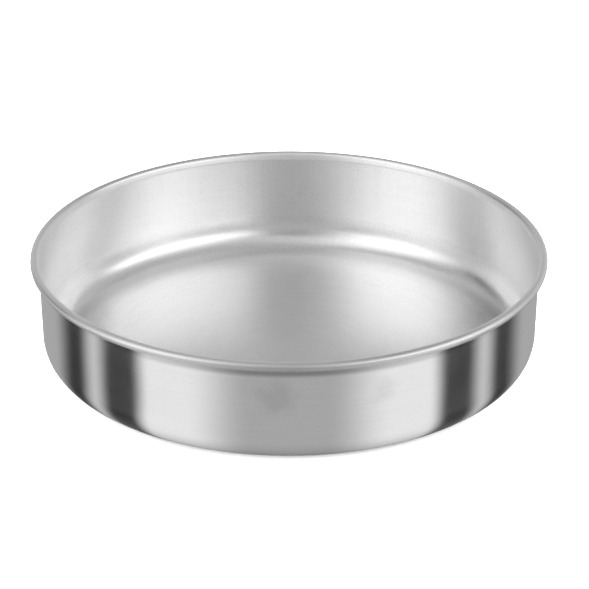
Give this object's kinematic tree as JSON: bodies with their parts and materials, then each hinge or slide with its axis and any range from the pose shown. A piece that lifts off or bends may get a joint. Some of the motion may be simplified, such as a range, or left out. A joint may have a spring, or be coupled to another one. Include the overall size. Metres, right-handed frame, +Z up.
{
  "type": "round baking pan",
  "caption": "Round, nearly straight-sided aluminium baking pan with a flat floor, a rounded corner and a flared rim curled over a stiffening wire; holds batter or dough in an oven.",
  "frame": {"origin": "on the pan's axis, at the underside of its floor, which is the level it stands on", "axes": "+Z up along the pan's axis and out of its mouth; X and Y lie across the pan, which is the same along both"},
  "size_m": [0.2378, 0.2378, 0.0516],
  "materials": {
    "pan_aluminium": "satin spun finish inside, brighter circumferential polish outside",
    "wire_steel": "galvanised wire"
  },
  "bodies": {
    "root": {"pan_shell": "pan_aluminium", "rim_wire": "wire_steel"}
  },
  "joints": []
}
